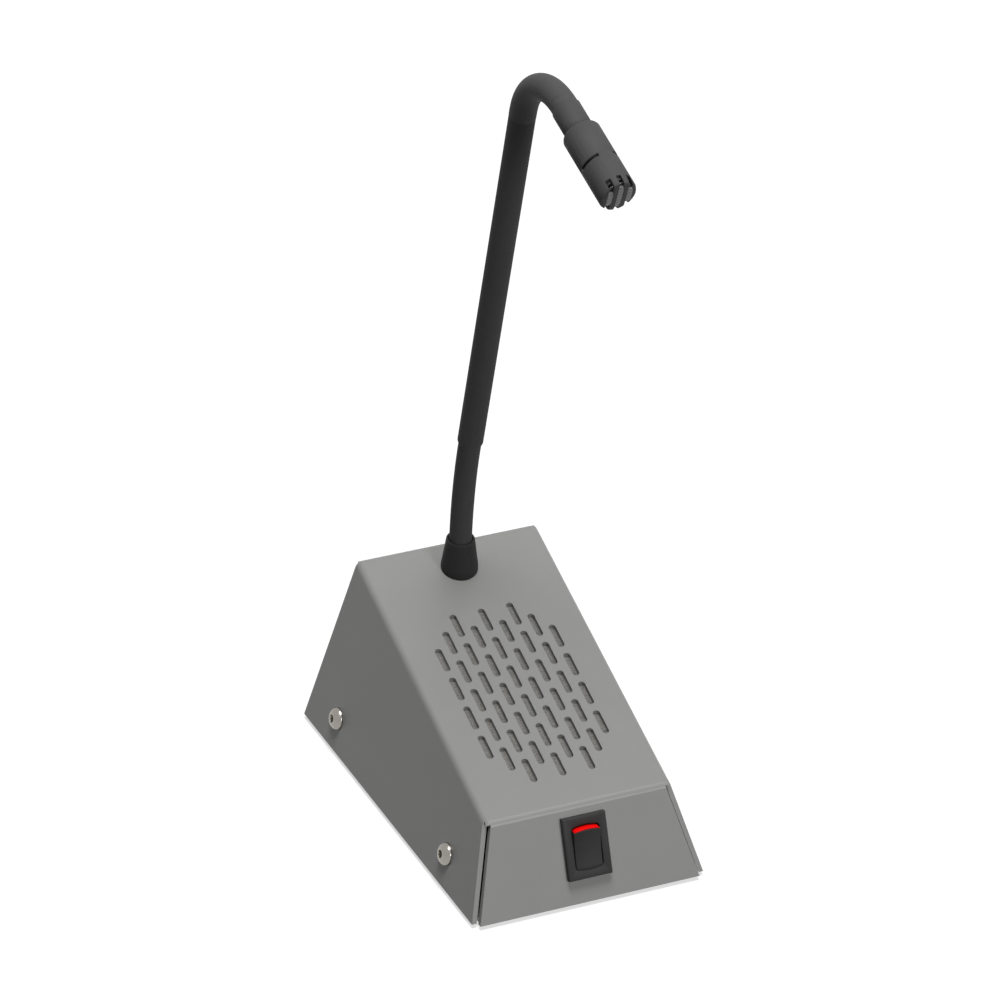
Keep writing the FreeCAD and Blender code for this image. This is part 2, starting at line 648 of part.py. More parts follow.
def make_tray():
    """Flat floor with two upturned flanges that follow the side flaps."""
    roof = "(stand_gap + sheet)"
    rows = []
    for wall, lean, setback, rise, sign in (("0", FRONT_LEAN, "front_setback", "front_height", "1"),
                                            ("base_depth", REAR_LEAN, "rear_setback", "rear_height", "-1")):
        behind = f"({wall} + {sign} * ({setback} * {roof} / {rise} + sheet / cos({lean}) + tray_gap))"
        below = f"(sin({SLOPE}) * ({behind} - front_setback) + cos({SLOPE}) * (front_height - {roof}))"
        half = f"(top_width / 2 + tan(side_flare) * {below} - (sheet + tray_gap) / cos(side_flare))"
        rows.append((half, f"({FRONT_EDGE} + {behind})"))
    (front_half, front), (rear_half, rear) = rows
    floor = plate("tray_floor", shift("0", "0", "stand_gap"),
                  [(f"0 - {front_half}", front), (front_half, front), (rear_half, rear),
                   (f"0 - {rear_half}", rear)], "sheet")
    pieces = [floor]
    for side in (1, -1):
        slab = block("tray_slab", side_frame(side), ("4 * base_depth", "4 * base_depth", "sheet"),
                     ("0 - 2 * base_depth", "0 - 2 * base_depth", "0 - 2 * sheet - tray_gap"))
        length = "base_depth - screw_rear - screw_front + 2 * flange_margin"
        limit = block("tray_limit", shift("0", f"{FRONT_EDGE} + screw_front - flange_margin", "stand_gap"),
                      ("2 * base_depth", length, "flange_rise"), ("0 - base_depth", "0", "0"))
        half = block("tray_half", shift(), ("base_depth", "2 * base_depth", "rear_height"),
                     ("0" if side == 1 else "0 - base_depth", "0 - base_depth", "0"))
        pieces.append(common("tray_flange", common("tray_strip", slab, limit), half))
    tools = [rod("nut_opening", side_spot(side, place, "screw_rise"), "nut_neck + 2 * thread_gap",
                 "8 * sheet", "0 - 4 * sheet") for side in (1, -1) for place in SCREW_PLACES]
    keep(cut("tray_cut", joined("tray_sum", pieces), tools), "base_tray")


def corner_frames(across, along):
    return [shift(f"{x} * ({across})", f"{y} * ({along})") for x in (-1, 1) for y in (-1, 1)]


def screw_frames():
    return [side_spot(side, place, "screw_rise") for side in (-1, 1) for place in SCREW_PLACES]


def make_fixings():
    """Button-head screws through the side flaps into clinch nuts on the tray's flanges."""
    screw = turned("screw_master", shift(), [
        ("0", "0 - screw_reach"), ("screw_thread / 2", "0 - screw_reach"), ("screw_thread / 2", "0"),
        ("screw_head / 2", "0"), ("screw_head / 2", "0.2 * screw_crown"),
        ("0.44 * screw_head", "0.55 * screw_crown"), ("0.34 * screw_head", "0.85 * screw_crown"),
        ("0.22 * screw_head", "screw_crown"), ("0.17 * screw_head", "screw_crown"),
        ("0.17 * screw_head", "0.4 * screw_crown"), ("0", "0.4 * screw_crown")])
    group("side_screws", screw, screw_frames())
    inner = "(0 - 2 * sheet - tray_gap)"
    bore = "screw_thread / 2 + thread_gap"
    nut = turned("nut_master", shift(), [
        (bore, f"{inner} - nut_tall"), ("nut_round / 2", f"{inner} - nut_tall"),
        ("nut_round / 2", inner), ("nut_neck / 2", inner),
        ("nut_neck / 2", f"{inner} + sheet"), (bore, f"{inner} + sheet")])
    group("clinch_nuts", nut, screw_frames())
    foot = turned("foot_master", shift(), [
        ("0", "0"), ("0.44 * foot_round", "0"), ("foot_round / 2", "0.3 * stand_gap"),
        ("foot_round / 2", "stand_gap"), ("0", "stand_gap")])
    group("rubber_feet", foot, corner_frames("foot_spread", "base_depth / 2 - foot_inset"))


def make_grommet():
    neck = "(inlet_bore / 2 + inlet_wall)"
    outer = f"({neck} + inlet_brim)"
    keep(turned("grommet", rear_frame(), [
        ("inlet_bore / 2", "0 - sheet - inlet_lip"), (f"0.92 * {outer}", "0 - sheet - inlet_lip"),
        (f"0.92 * {outer}", "0 - sheet"), (neck, "0 - sheet"), (neck, "0"),
        (outer, "0"), (outer, "0.5 * inlet_lip"), (f"0.85 * {outer}", "inlet_lip"),
        ("inlet_bore / 2", "inlet_lip")]), "cable_grommet")


# Rocker switch

def make_switch():
    frame = front_frame()
    body = start_body("switch_body", frame)
    bezel = start_sketch(body, "XY_Plane")
    wide, tall = "(switch_wide / 2 + bezel_lip)", "(switch_tall / 2 + bezel_lip)"
    rectangle(bezel, f"0 - {wide}", wide, f"0 - {tall}", tall)
    feature(body, "Pad", bezel, "bezel_proud")
    doc.recompute()
    brim = edges_where(body.Shape, lambda edge: is_at_height(edge, frame, "bezel_proud"))
    round_edges(body, brim, "bezel_bevel", "Chamfer")
    block_sketch = start_sketch(body, "XY_Plane")
    rectangle(block_sketch, "0 - switch_wide / 2", "switch_wide / 2",
              "0 - switch_tall / 2", "switch_tall / 2")
    feature(body, "Pad", block_sketch, "switch_deep", reverse=True)
    well_long = "bezel_proud + 0.7 * switch_deep"
    well = bowed_prism("rocker_well", frame * shift("0", "0", f"bezel_proud - ({well_long})"),
                       "rocker_gap", "rocker_end_gap", f"2 * ({well_long})")
    bores = rod("trunnion_bores", frame * shift("trunnion_end - switch_wide / 2", "0", "pivot_rise")
                * turn(ALONG_Y, "90"), "pivot_pin + 2 * pivot_gap", "switch_wide - 2 * trunnion_end")
    keep(cut("switch_cut", body, [well, bores]), "switch_housing")
    tab = block("tab_master", shift(), ("tab_wide", "tab_thick", "tab_long"))
    places = [frame * shift("0", f"{sign} * tab_spread", "0 - switch_deep - tab_long") for sign in (-1, 1)]
    group("switch_terminals", tab, places)


def is_at_height(edge, frame, height):
    level = measure(height)
    return all(abs(frame.inverse().multVec(vertex.Point).z - level) < 1e-5 for vertex in edge.Vertexes)


def is_level(edge, frame):
    heights = [frame.inverse().multVec(vertex.Point).z for vertex in edge.Vertexes]
    return max(heights) - min(heights) < 1e-5


BOW_ROUND = "((rocker_wide^2 / 4 + rocker_bulge^2) / (2 * rocker_bulge))"
BOW_CENTRE = f"(rocker_tall / 2 + rocker_bulge - {BOW_ROUND})"


def bowed_prism(name, frame, side_gap, end_gap, length):
    """Prism with the rocker's outline, grown by a gap: straight sides, bowed ends, rounded corners."""
    half = f"(rocker_wide / 2 + {side_gap})"
    arc = f"sqrt(({BOW_ROUND} + {end_gap})^2 - {half}^2)"
    body = plate(name, frame, [
        (half, f"0 - {BOW_CENTRE} - {arc}"), (half, f"{BOW_CENTRE} + {arc}", BOW_CENTRE),
        (f"0 - {half}", f"{BOW_CENTRE} + {arc}"),
        (f"0 - {half}", f"0 - {BOW_CENTRE} - {arc}", f"0 - {BOW_CENTRE}")], length)
    doc.recompute()
    uprights = edges_where(body.Shape, lambda edge: not is_level(edge, frame))
    round_edges(body, uprights, f"rocker_corner + {side_gap}")
    return body


def rocker_frame():
    """At the rocker's pivot, leaning as at rest with its upper end out."""
    return front_frame() * shift("0", "0", "pivot_rise") * turn(ALONG_X, "rocker_tilt")


def make_rocker():
    """Rocker with a hollow face, bowed ends, trunnions and a red marker on its upper end."""
    frame = rocker_frame()
    tip = "(rocker_tall / 2 + rocker_bulge)"
    rise = "(rocker_crest + rocker_dish)"
    dish = f"(rocker_crest + ({tip}^2 + rocker_dish^2) / (2 * rocker_dish))"
    side_view = plate("rocker_side_view", frame, [
        (f"0 - {tip}", rise, dish), (tip, rise), (tip, "0 - 0.3 * rocker_keel"),
        ("0.35 * rocker_tall", "0 - rocker_keel"), ("0 - 0.35 * rocker_tall", "0 - rocker_keel"),
        (f"0 - {tip}", "0 - 0.3 * rocker_keel")], "rocker_wide", "YZ_Plane", both_ways=True)
    plan_view = bowed_prism("rocker_plan_view", frame * shift("0", "0", "0 - 2 * rocker_keel"),
                            "0", "0", "4 * rocker_keel")
    blank = common("rocker_blank", side_view, plan_view)
    pin = rod("trunnions", frame * turn(ALONG_Y, "90"), "pivot_pin", "switch_wide - 2 * trunnion_end - 0.6",
              "trunnion_end + 0.3 - switch_wide / 2")
    inner = f"({BOW_ROUND} - marker_skin)"
    low = f"({BOW_CENTRE} + sqrt({inner}^2 - rocker_wide^2 / 4))"
    end_piece = plate("marker_end", frame * shift("0", "0", f"{rise} - marker_tall"), [
        ("rocker_wide / 2", low, BOW_CENTRE), ("0 - rocker_wide / 2", low),
        ("0 - rocker_wide / 2", "rocker_tall"), ("rocker_wide / 2", "rocker_tall")], "2 * marker_tall")
    keep(joined("rocker_sum", [cut("rocker_cut", blank, [end_piece]), pin]), "switch_rocker")
    keep(common("marker", blank, end_piece), "rocker_marker")


# Gooseneck

BOOT_BASE = "(shank / 2 + boot_wall)"
BOOT_TOP = "(neck_thin / 2 + boot_rim)"
FLANGE = "(shank / 2 + flange_lip)"
FIRST_JOINT = "(boot_tall + thin_start)"


def make_foot():
    """Boot, threaded spigot with the first ball, taper washer and lock nut."""
    frame = foot_frame()
    stem_bore = "neck_thin / 2 + plug_fit"
    shank_bore = "shank / 2 + thread_gap"
    flange_roof = "flange_seat + flange_thick"
    mouth = "neck_thin / 2 + boot_mouth"
    skirt = "0 - boot_band"
    boot = turned("boot_blank", frame, [
        (shank_bore, skirt), (BOOT_BASE, skirt), (BOOT_BASE, "boot_band"),
        (BOOT_TOP, "boot_tall - boot_lip"), (f"{BOOT_TOP} - 0.3 * boot_lip", "boot_tall - 0.3 * boot_lip"),
        (f"{BOOT_TOP} - boot_lip", "boot_tall"), (mouth, "boot_tall"), (mouth, "boot_tall - mouth_deep"),
        (stem_bore, "boot_tall - mouth_deep"), (stem_bore, flange_roof),
        (f"{FLANGE} + plug_fit", flange_roof),
        (f"{FLANGE} + plug_fit", "flange_seat"), (shank_bore, "flange_seat")])
    below = block("below_top", top_frame() * shift("neck_shift", NECK_PLACE),
                  ("8 * shank", "8 * shank", "boot_tall"),
                  ("0 - 4 * shank", "0 - 4 * shank", "0 - boot_tall"))
    keep(cut("boot_cut", boot, [below]), "neck_boot")

    keep(turned("spigot", frame, [
        ("lead_bore / 2", "0 - shank_below"), ("shank / 2", "0 - shank_below"), ("shank / 2", "flange_seat"),
        (FLANGE, "flange_seat"), (FLANGE, flange_roof), ("neck_thin / 2", flange_roof)]
        + ball("thin", FIRST_JOINT)), "neck_spigot")

    washer = tube("washer_blank", frame, "washer_round", "shank + 2 * thread_gap", "washer_low",
                  "0 - washer_low")
    above = block("above_sheet", top_frame() * shift("neck_shift", NECK_PLACE, "0 - sheet"),
                  ("8 * shank", "8 * shank", "boot_tall"))
    keep(cut("washer_cut", washer, [above]), "taper_washer")
    keep(hexagon("locknut", frame, "locknut_flats", "shank + 2 * thread_gap", "locknut_tall",
                 "0 - washer_low - locknut_tall"), "neck_lock_nut")


def ball(kind, centre):
    """Profile corners from the shoulder over the ball to the bore; kind is thin or thick."""
    size = f"neck_{kind} / 2"
    radius = f"(neck_{kind} / 2 - {kind}_wall)"
    shoulder = f"{kind}_shoulder"
    return [(size, f"{centre} - {shoulder}"),
            (f"sqrt({radius}^2 - {shoulder}^2)", f"{centre} - {shoulder}", centre),
            ("lead_bore / 2", f"{centre} + sqrt({radius}^2 - (lead_bore / 2)^2)")]


def socket(kind):
    """Profile corners from the bore down the socket and out over its rim."""
    size = f"neck_{kind} / 2"
    radius = f"(neck_{kind} / 2 - {kind}_wall + ball_fit)"
    return [("lead_bore / 2", f"sqrt({radius}^2 - (lead_bore / 2)^2)", "0"),
            (f"sqrt({radius}^2 - rim^2)", "0 - rim"),
            (f"{size} - rim_bevel", "0 - rim"), (size, "rim_bevel - rim")]


def neck_frames():
    """Frames of all joints along the neck: z along the next piece, bent forward about x."""
    frame = foot_frame() * shift("0", "0", FIRST_JOINT)
    frames = []
    for joint in range(LOWER_JOINTS):
        frame = frame * turn(ALONG_X, "thin_curve")
        frames.append(frame)
        frame = frame * shift("0", "0", "thin_pitch")
    frame = frames[-1] * shift("0", "0", "ferrule_out + stem_long + upper_out")
    for joint in range(UPPER_JOINTS):
        frame = frame * turn(ALONG_X, "thick_curve")
        frames.append(frame)
        frame = frame * shift("0", "0", "thick_pitch")
    return frames


def make_links(frames):
    for index in range(LOWER_JOINTS - 1):
        name = f"lower_link_{index + 1}"
        keep(turned(name, frames[index], socket("thin") + ball("thin", "thin_pitch")), name)
    for index in range(UPPER_JOINTS - 1):
        name = f"upper_link_{index + 1}"
        frame = frames[LOWER_JOINTS + index]
        keep(turned(name, frame, socket("thick") + ball("thick", "thick_pitch")), name)


def make_stem(frame):
    """Rigid tube with a ferrule plugged into each end."""
    plug = "neck_thick / 2 - stem_wall - plug_fit"
    keep(turned("ferrule_low", frame, socket("thin") + [
        ("neck_thin / 2", "ferrule_out"), (plug, "ferrule_out"),
        (plug, "ferrule_out + plug_long"), ("lead_bore / 2", "ferrule_out + plug_long")]), "lower_ferrule")
    low = "ferrule_out"
    high = "ferrule_out + stem_long"
    outer = "neck_thick / 2"
    inner = "neck_thick / 2 - stem_wall"
    keep(turned("stem", frame, [
        (inner, low), (f"{outer} - stem_bevel", low), (outer, f"{low} + stem_bevel"),
        (outer, high), (inner, high)]), "stem_tube")
    keep(turned("ferrule_high", frame, [
        ("lead_bore / 2", f"{high} - plug_long"), (plug, f"{high} - plug_long"), (plug, high),
        (outer, high)] + ball("thick", f"({high} + upper_out)")), "upper_ferrule")


# Microphone head

def make_head(frame):
    """Collar, rear half, slotted front half, gauze, capsule and its rubber sleeve."""
    collar = "collar_round / 2"
    seat = "(collar_start + collar_long)"
    plug = "collar_round / 2 - collar_step"
    keep(turned("collar", frame, socket("thick") + [
        ("neck_thick / 2", "collar_start"), (collar, "collar_start + collar_slope"),
        (collar, seat), (plug, seat),
        (plug, f"{seat} + collar_plug"), ("lead_bore / 2", f"{seat} + collar_plug")]), "head_collar")

    outer = "head_round / 2"
    inner = f"({outer} - head_wall)"
    rear = f"({seat} + rear_long)"
    keep(turned("head_rear", frame, [
        (f"{plug} + plug_fit", seat), (f"{outer} - rear_edge", seat),
        (f"{outer} - 0.3 * rear_edge", f"{seat} + 0.3 * rear_edge"),
        (outer, f"{seat} + rear_edge"), (outer, rear), (f"{inner} - plug_fit", rear),
        (f"{inner} - plug_fit", f"{rear} + tongue_long"),
        (f"{inner} - plug_fit - tongue_thick", f"{rear} + tongue_long"),
        (f"{inner} - plug_fit - tongue_thick", f"{seat} + collar_plug"),
        (f"{plug} + plug_fit", f"{seat} + collar_plug")]), "microphone_housing")

    tip = f"({rear} + cap_long)"
    blank = turned("cap_blank", frame, [
        (inner, rear), (outer, rear), (outer, f"{tip} - cap_edge"),
        (f"{outer} - 0.3 * cap_edge", f"{tip} - 0.3 * cap_edge"), (f"{outer} - cap_edge", tip),
        ("0", tip), ("0", f"{tip} - cap_front"), (inner, f"{tip} - cap_front")])
    tools = []
    for step in (-1, 0, 1):
        slot = block("grille_tool", frame * shift(f"{step} * grille_pitch", "0", f"{tip} - grille_deep"),
                     ("grille_slot", "2 * head_round", "2 * grille_deep"))
        tools.append(slot)
    for turn_count in range(3):
        tools.append(vent_tool(frame, rear, 120 * turn_count))
    keep(cut("cap_cut", blank, tools), "microphone_cap")

    gauze_low = f"({tip} - cap_front - gauze)"
    keep(rod("gauze_disc", frame, f"2 * {inner} - 2 * plug_fit", "gauze", gauze_low), "wind_gauze")
    capsule_low = f"({gauze_low} - capsule_long)"
    keep(rod("capsule_can", frame, "capsule_round", "capsule_long", capsule_low), "microphone_capsule")
    keep(tube("capsule_ring", frame, f"2 * {inner} - 2 * plug_fit", "capsule_round + 2 * plug_fit",
              "0.8 * capsule_long", capsule_low), "capsule_sleeve")


def vent_tool(frame, rear, angle):
    """Arc-shaped cutter that opens one vent in the rim of the head's front half."""
    body = start_body("vent_tool", frame * shift("0", "0", rear) * turn(ALONG_Z, f"vent_phase + {angle}"))
    sketch = start_sketch(body, "XZ_Plane")
    rectangle(sketch, "head_round / 2 - 1.5 * head_wall", "head_round / 2 + head_wall",
              "0 - vent_tall", "vent_tall")
    spin = body.newObject("PartDesign::Revolution", "vent_spin")
    spin.Profile = sketch
    spin.ReferenceAxis = (sketch, ["V_Axis"])
    spin.setExpression("Angle", bind("vent_arc"))
    return body


# Loudspeaker

def make_speaker():
    frame = speaker_frame()
    gasket_low = "(0 - cloth_thick - gasket_thick)"
    rim_roof = f"({gasket_low} - surround_skin)"
    floor = f"({rim_roof} - basket_deep)"
    ring = f"({SPEAKER} / 2 + stud_gap + stud_round / 2)"
    studs = [frame * shift(f"{x} * {ring} * cos(stud_angle)", f"{y} * {ring} * sin(stud_angle)")
             for x in (-1, 1) for y in (-1, 1)]
    holes = [rod("cloth_hole", spot, "stud_round + 0.4", "4 * cloth_thick", "0 - 2 * cloth_thick")
             for spot in studs]
    wide = f"({ring} * cos(stud_angle) + stud_round / 2 + cloth_side)"
    along = f"({FIELD} / 2 + cloth_end)"
    cloth = block("cloth_blank", frame, (f"2 * {wide}", f"2 * {along}", "cloth_thick"),
                  (f"0 - {wide}", f"0 - {along}", "0 - cloth_thick"))
    keep(cut("cloth_cut", cloth, holes), "acoustic_cloth")
    keep(tube("gasket", frame, SPEAKER, f"{SPEAKER} - 2 * gasket_wide", "gasket_thick", gasket_low),
         "speaker_gasket")

    lip = f"({SPEAKER} / 2 - gasket_wide)"
    skirt = "basket_floor / 2"
    keep(turned("basket", frame, [
        (lip, f"{rim_roof} - basket_sheet"), (f"{SPEAKER} / 2", f"{rim_roof} - basket_sheet"),
        (f"{SPEAKER} / 2", rim_roof), (f"{lip} - 0.6", rim_roof),
        (f"{skirt} - 0.2", f"{floor} + basket_sheet"), ("coil_round / 2 + 1", f"{floor} + basket_sheet"),
        ("coil_round / 2 + 1", floor), (f"{skirt} + 0.3", floor)]), "speaker_basket")

    outer = f"({lip} - 0.4)"
    inner = f"({outer} - surround_wide)"
    middle = f"(({outer} + {inner}) / 2)"
    edge = f"({SPEAKER} / 2 - 0.3)"
    crown = f"({rim_roof} + surround_rise)"
    keep(turned("roll", frame, [
        (f"{inner} - 0.8", rim_roof), (inner, rim_roof), (f"{middle} - 0.7", crown),
        (f"{middle} + 0.7", crown), (outer, rim_roof), (edge, rim_roof), (edge, gasket_low),
        (f"{outer} - 0.05", gasket_low), (f"{middle} + 0.6", f"{crown} + surround_skin"),
        (f"{middle} - 0.6", f"{crown} + surround_skin"), (f"{inner} + 0.05", gasket_low),
        (f"{inner} - 0.8", gasket_low)]), "speaker_surround")
    neck = "(coil_round / 2 + 0.1)"
    low = rim_roof
    keep(turned("paper", frame, [
        (neck, f"{low} - cone_deep"), (f"{neck} + 0.4", f"{low} - cone_deep"),
        (f"{inner} - 0.6", f"{low} - cone_paper"), (f"{inner} - 0.05", f"{low} - cone_paper"),
        (f"{inner} - 0.05", low), (f"{inner} - 0.8", low),
        (neck, f"{low} - cone_deep + cone_paper + 0.3")]), "speaker_cone")
    cap_low = f"({low} - cone_deep + 1.3)"
    keep(turned("cap_dome", frame, [
        ("0", f"{cap_low} + 2"), ("0", f"{cap_low} + 2.4"), ("0.3 * coil_round", f"{cap_low} + 1.9"),
        ("0.49 * coil_round", f"{cap_low} + 0.4"), ("0.49 * coil_round", cap_low),
        ("0.28 * coil_round", f"{cap_low} + 1.5")]), "dust_cap")
    coil_roof = f"({low} - cone_deep + 0.6)"
    keep(tube("coil", frame, "coil_round", "coil_round - 2 * coil_wall", "coil_long",
              f"{coil_roof} - coil_long"), "voice_coil")

    gap_outer = "coil_round + 2 * coil_gap"
    keep(tube("pole_ring", frame, "basket_floor - 1", gap_outer, "pole_plate", f"{floor} - pole_plate"),
         "pole_plate")
    magnet_low = f"({floor} - pole_plate - magnet_tall)"
    keep(tube("magnet_ring", frame, "magnet_round", "magnet_bore", "magnet_tall", magnet_low),
         "speaker_magnet")
    pole = "coil_round / 2 - coil_wall - coil_gap"
    keep(turned("yoke", frame, [
        ("0", f"{magnet_low} - yoke_thick"), ("magnet_round / 2 - 1", f"{magnet_low} - yoke_thick"),
        ("magnet_round / 2 - 1", magnet_low), (pole, magnet_low), (pole, floor), ("0", floor)]),
        "speaker_yoke")

    clamp_roof = f"({rim_roof} - basket_sheet)"
    nut_low = f"({clamp_roof} - clamp_thick - stud_nut_tall)"
    stud_low = f"({nut_low} - stud_spare)"
    stud = rod("stud_master", shift(), "stud_round", f"0 - {stud_low}", stud_low)
    group("weld_studs", stud, studs)
    clamp = tube("clamp_master", shift(), "stud_round + 2 * stud_gap + 2 * clamp_bite",
                 "stud_round + 2 * thread_gap", "clamp_thick", f"{clamp_roof} - clamp_thick")
    group("clamp_washers", clamp, studs)
    nut = hexagon("stud_nut_master", shift(), "stud_nut", "stud_round + 2 * thread_gap", "stud_nut_tall",
                  nut_low)
    group("stud_nuts", nut, studs)


# Amplifier board

def make_board():
    deck = shift("0", "board_place", "stand_gap + sheet + post_tall")
    floor = shift("0", "board_place", "stand_gap + sheet")
    across = "board_wide / 2 - post_inset"
    along = "board_long / 2 - post_inset"
    corners = corner_frames(across, along)
    holes = [rod("board_hole", deck * corner, "post_thread + 0.4", "2 * board_thick") for corner in corners]
    card = block("board_blank", deck, ("board_wide", "board_long", "board_thick"))
    keep(cut("board_cut", card, holes), "circuit_board")
    post = tube("post_master", shift(), "post_round", "post_thread + 2 * thread_gap", "post_tall")
    group("board_standoffs", post, [floor * corner for corner in corners])
    head = "post_screw_head / 2"
    screw = turned("board_screw_master", shift(), [
        ("0", "0.2 * post_tall - post_tall"), ("post_thread / 2", "0.2 * post_tall - post_tall"),
        ("post_thread / 2", "board_thick"), (head, "board_thick"), (head, "board_thick + 1"),
        (f"0.6 * {head}", "board_thick + 1.8"), ("0", "board_thick + 1.8")])
    group("board_screws", screw, [deck * corner for corner in corners])

    face = deck * shift("0", "0", "board_thick")
    chip = block("chip", face * shift("0 - 12", "12"), ("10", "8", "2.2"))
    keep(chip, "amplifier_chip")
    can = turned("can_master", shift(), [("0", "0"), ("3.1", "0"), ("3.1", "7.4"), ("2.6", "8"), ("0", "8")])
    group("capacitors", can, [face * shift(x, y) for x, y in (("4", "13"), ("12", "13"), ("12", "5"))])
    wide = "(3 * terminal_pitch)"
    case = block("terminal_blank", shift(), (wide, "terminal_deep", "terminal_tall"))
    screws = [rod("terminal_hole", shift(f"{step} * terminal_pitch", "0", "terminal_tall / 2"),
                  "0.7 * terminal_pitch", "terminal_tall") for step in (-1, 0, 1)]
    terminal = cut("terminal_cut", case, screws)
    rear = "board_long / 2 - terminal_deep"
    group("terminal_blocks", terminal, [face * shift(f"{side} * 0.75 * {wide}", rear) for side in (-1, 1)])
    case = block("trimmer_case", shift(), ("trimmer_wide", "trimmer_wide", "0.8 * trimmer_tall"))
    trimmer = joined("trimmer", [case, rod("trimmer_knob", shift(), "0.6 * trimmer_wide", "trimmer_tall")])
    place = "(board_wide / 2 - trimmer_wide)"
    group("volume_trimmers", trimmer, [face * shift(f"{side} * {place}") for side in (-1, 1)])


def build():
    make_cover()
    make_tray()
    make_fixings()
    make_grommet()
    make_switch()
    make_rocker()
    make_foot()
    frames = neck_frames()
    make_links(frames)
    make_stem(frames[LOWER_JOINTS - 1])
    make_head(frames[-1])
    make_speaker()
    make_board()
    doc.recompute()


def check():
    """Stop if any object failed or any sub-part has no valid solid."""
    for item in doc.Objects:
        if "Invalid" in item.State or "Error" in item.State:
            raise RuntimeError(f"{item.Label} failed: {item.State}")
    for part in parts:
        if part.Shape.isNull() or not part.Shape.isValid() or not part.Shape.Solids:
            raise RuntimeError(f"{part.Label} has no valid solid")


def export():
    os.makedirs("parts", exist_ok=True)
    for part in parts:
        part.Shape.exportStep(os.path.join("parts", part.Label + ".step"))


build()
check()
export()
for part in parts:
    box = part.Shape.BoundBox
    print(f"{part.Label:22} solids {len(part.Shape.Solids)} volume {part.Shape.Volume:10.1f} "
          f"x {box.XMin:7.2f} {box.XMax:7.2f} y {box.YMin:7.2f} {box.YMax:7.2f} "
          f"z {box.ZMin:7.2f} {box.ZMax:7.2f}")
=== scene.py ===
import json
import math

import bmesh
import bpy
from mathutils import Matrix, Vector


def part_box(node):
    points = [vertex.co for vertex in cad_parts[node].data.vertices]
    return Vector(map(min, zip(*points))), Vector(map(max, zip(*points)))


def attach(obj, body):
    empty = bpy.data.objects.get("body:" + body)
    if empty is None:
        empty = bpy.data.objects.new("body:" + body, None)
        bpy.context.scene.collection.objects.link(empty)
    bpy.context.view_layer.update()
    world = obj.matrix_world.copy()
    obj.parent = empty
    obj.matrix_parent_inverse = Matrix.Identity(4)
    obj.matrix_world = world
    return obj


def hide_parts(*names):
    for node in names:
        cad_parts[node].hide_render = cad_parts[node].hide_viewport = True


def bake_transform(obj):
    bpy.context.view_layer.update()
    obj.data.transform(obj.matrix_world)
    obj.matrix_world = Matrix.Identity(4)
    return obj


# Looks of a teller window intercom: painted folded housing, black gooseneck and microphone.
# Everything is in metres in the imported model's own frame.

MM = 0.001
WHITE = (1, 1, 1, 1)

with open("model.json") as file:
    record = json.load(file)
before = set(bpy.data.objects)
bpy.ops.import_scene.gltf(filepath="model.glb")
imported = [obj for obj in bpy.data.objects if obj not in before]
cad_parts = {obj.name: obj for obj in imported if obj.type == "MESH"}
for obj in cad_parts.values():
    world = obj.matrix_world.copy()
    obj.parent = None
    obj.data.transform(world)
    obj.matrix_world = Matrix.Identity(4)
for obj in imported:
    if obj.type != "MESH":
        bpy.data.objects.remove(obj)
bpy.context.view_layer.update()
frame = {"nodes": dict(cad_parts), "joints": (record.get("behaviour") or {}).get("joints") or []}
nodes = frame["nodes"]


def link_object(name, data):
    """New object in the scene."""
    thing = bpy.data.objects.new(name, data)
    bpy.context.scene.collection.objects.link(thing)
    return thing


def new_paint(name):
    """New material, with its node tree and the shader in it."""
    paint = bpy.data.materials.new(name)
    paint.use_nodes = True
    tree = paint.node_tree
    return paint, tree, tree.nodes["Principled BSDF"]


def grey(level):
    return level, level, level


# Camera: where it stands round the point it aims at, and how far its view is set off from there.

AZIMUTH = math.radians(-21.393)
ELEVATION = math.radians(31.646)
DISTANCE = 1622.3 * MM
LENS = 185.8
CLIP_END = 20
AIM = Vector((0.0, -6.89, 60.0)) * MM
AIM_ACROSS = -6.575 * MM
AIM_UP = 45.996 * MM


def add_camera():
    right = Vector((math.cos(AZIMUTH), math.sin(AZIMUTH), 0))
    back = Vector((
        math.sin(AZIMUTH) * math.cos(ELEVATION),
        -math.cos(AZIMUTH) * math.cos(ELEVATION),
        math.sin(ELEVATION),
    ))
    up = back.cross(right)
    data = bpy.data.cameras.new("camera")
    data.lens = LENS
    data.clip_end = CLIP_END
    camera = link_object("camera", data)
    target = AIM + right * AIM_ACROSS + up * AIM_UP
    turn = Matrix((right, up, back)).transposed().to_4x4()
    camera.matrix_world = Matrix.Translation(target + back * DISTANCE) @ turn
    bpy.context.scene.camera = camera


# Light: a low lamp in front for the flaps and the stem, and a soft one overhead that gives the
# photograph's shadow under the switch. Each has its place, its diameter and its power in watts.

LAMPS = {
    "key": ((0.8, -3.68, 1.4), 1.4, 59),
    "top": ((0.0, -0.25, 4.0), 1.8, 133),
}
LAMP_AIM = Vector((0, 0, 0.08))
WORLD_LIGHT = 0.05
WORLD_WHITE = 1.0


def add_lamp(name, place, diameter, power):
    data = bpy.data.lights.new(name, "AREA")
    data.shape = "DISK"
    data.size = diameter
    data.energy = power
    lamp = link_object(name, data)
    lamp.location = place
    lamp.rotation_euler = (LAMP_AIM - Vector(place)).to_track_quat("-Z", "Y").to_euler()


def shows_background(tree):
    """1 for rays that carry the white background: seen, reflected or through glass."""
    path = tree.nodes.new("ShaderNodeLightPath")
    result = path.outputs["Is Camera Ray"]
    for kind in ("Is Glossy Ray", "Is Transmission Ray"):
        either = tree.nodes.new("ShaderNodeMath")
        either.operation = "MAXIMUM"
        tree.links.new(result, either.inputs[0])
        tree.links.new(path.outputs[kind], either.inputs[1])
        result = either.outputs[0]
    return result


